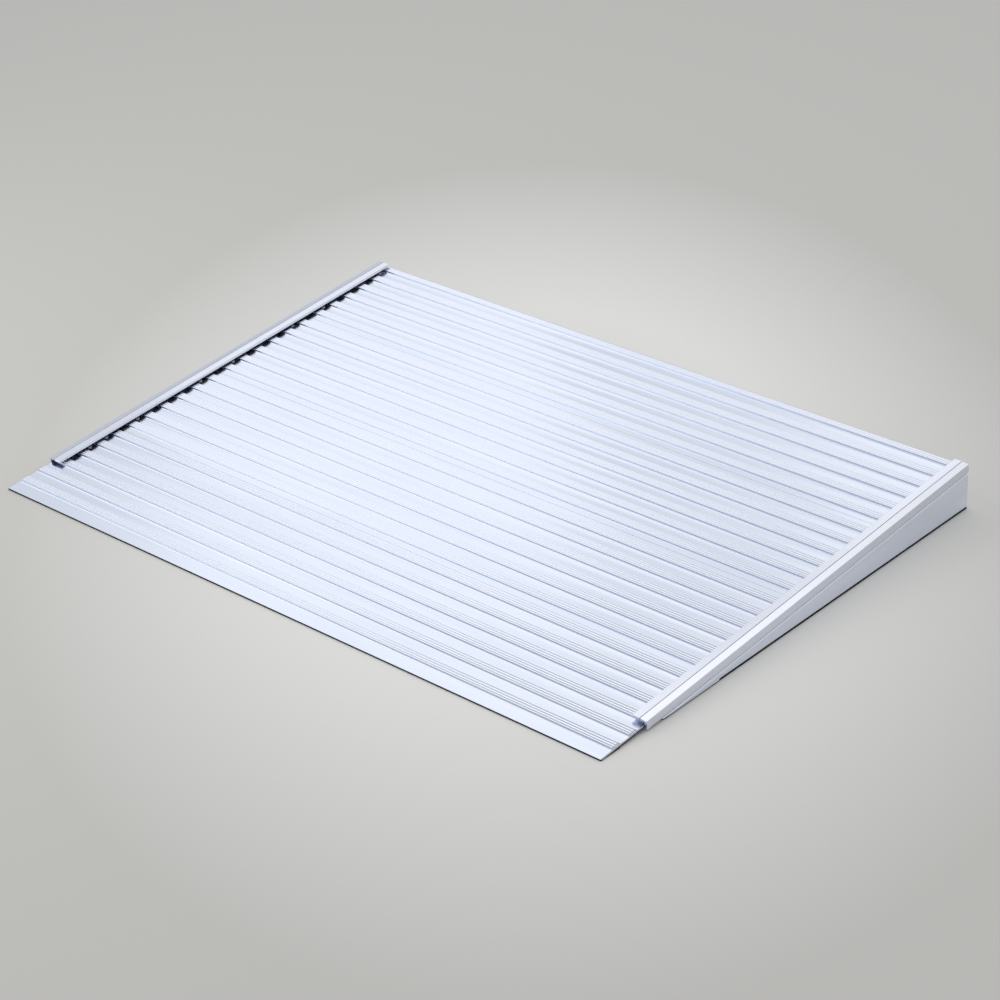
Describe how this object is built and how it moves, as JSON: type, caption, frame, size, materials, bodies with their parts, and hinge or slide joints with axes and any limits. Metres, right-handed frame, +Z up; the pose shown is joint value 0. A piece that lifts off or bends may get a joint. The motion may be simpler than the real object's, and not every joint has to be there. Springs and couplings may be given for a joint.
{
  "type": "threshold ramp",
  "caption": "Free-standing aluminium wedge ramp with a ribbed plank deck, edge trims and tapered side panels, to roll a wheelchair over a raised door sill.",
  "frame": {"origin": "on the ground, under the middle of the ramp's outline", "axes": "+X across the ramp to the right as one walks up it, +Y up the slope to the sill, +Z up"},
  "size_m": [0.8696, 0.6077, 0.0558],
  "materials": {
    "deck": "mill-finish extrusion with fine die lines along the planks",
    "trim": "satin extrusion with fine lines along the trim",
    "panel": "satin rolled sheet with light scuffs",
    "frame": "plain mill finish",
    "rubber": "matt black",
    "rivet": "plain aluminium blind rivets"
  },
  "bodies": {
    "root": {"nose_plank": "deck", "lower_plank": "deck", "upper_plank": "deck", "top_plank": "deck", "left_edge_trim": "trim", "right_edge_trim": "trim", "left_side_panel": "panel", "right_side_panel": "panel", "left_stringer": "frame", "centre_stringer": "frame", "right_stringer": "frame", "rear_beam": "frame", "left_clips": "frame", "centre_clips": "frame", "right_clips": "frame", "nose_strip": "rubber", "heel_strip": "rubber", "left_panel_seal": "rubber", "right_panel_seal": "rubber", "left_panel_sole": "rubber", "right_panel_sole": "rubber", "left_stringer_sole": "rubber", "centre_stringer_sole": "rubber", "right_stringer_sole": "rubber", "rear_sole": "rubber", "left_edge_rivets": "rivet", "right_edge_rivets": "rivet", "left_stringer_rivets": "rivet", "centre_stringer_rivets": "rivet", "right_stringer_rivets": "rivet", "apron_rivets": "rivet", "left_corner_rivets": "rivet", "right_corner_rivets": "rivet", "clip_rivets": "rivet"}
  },
  "joints": []
}
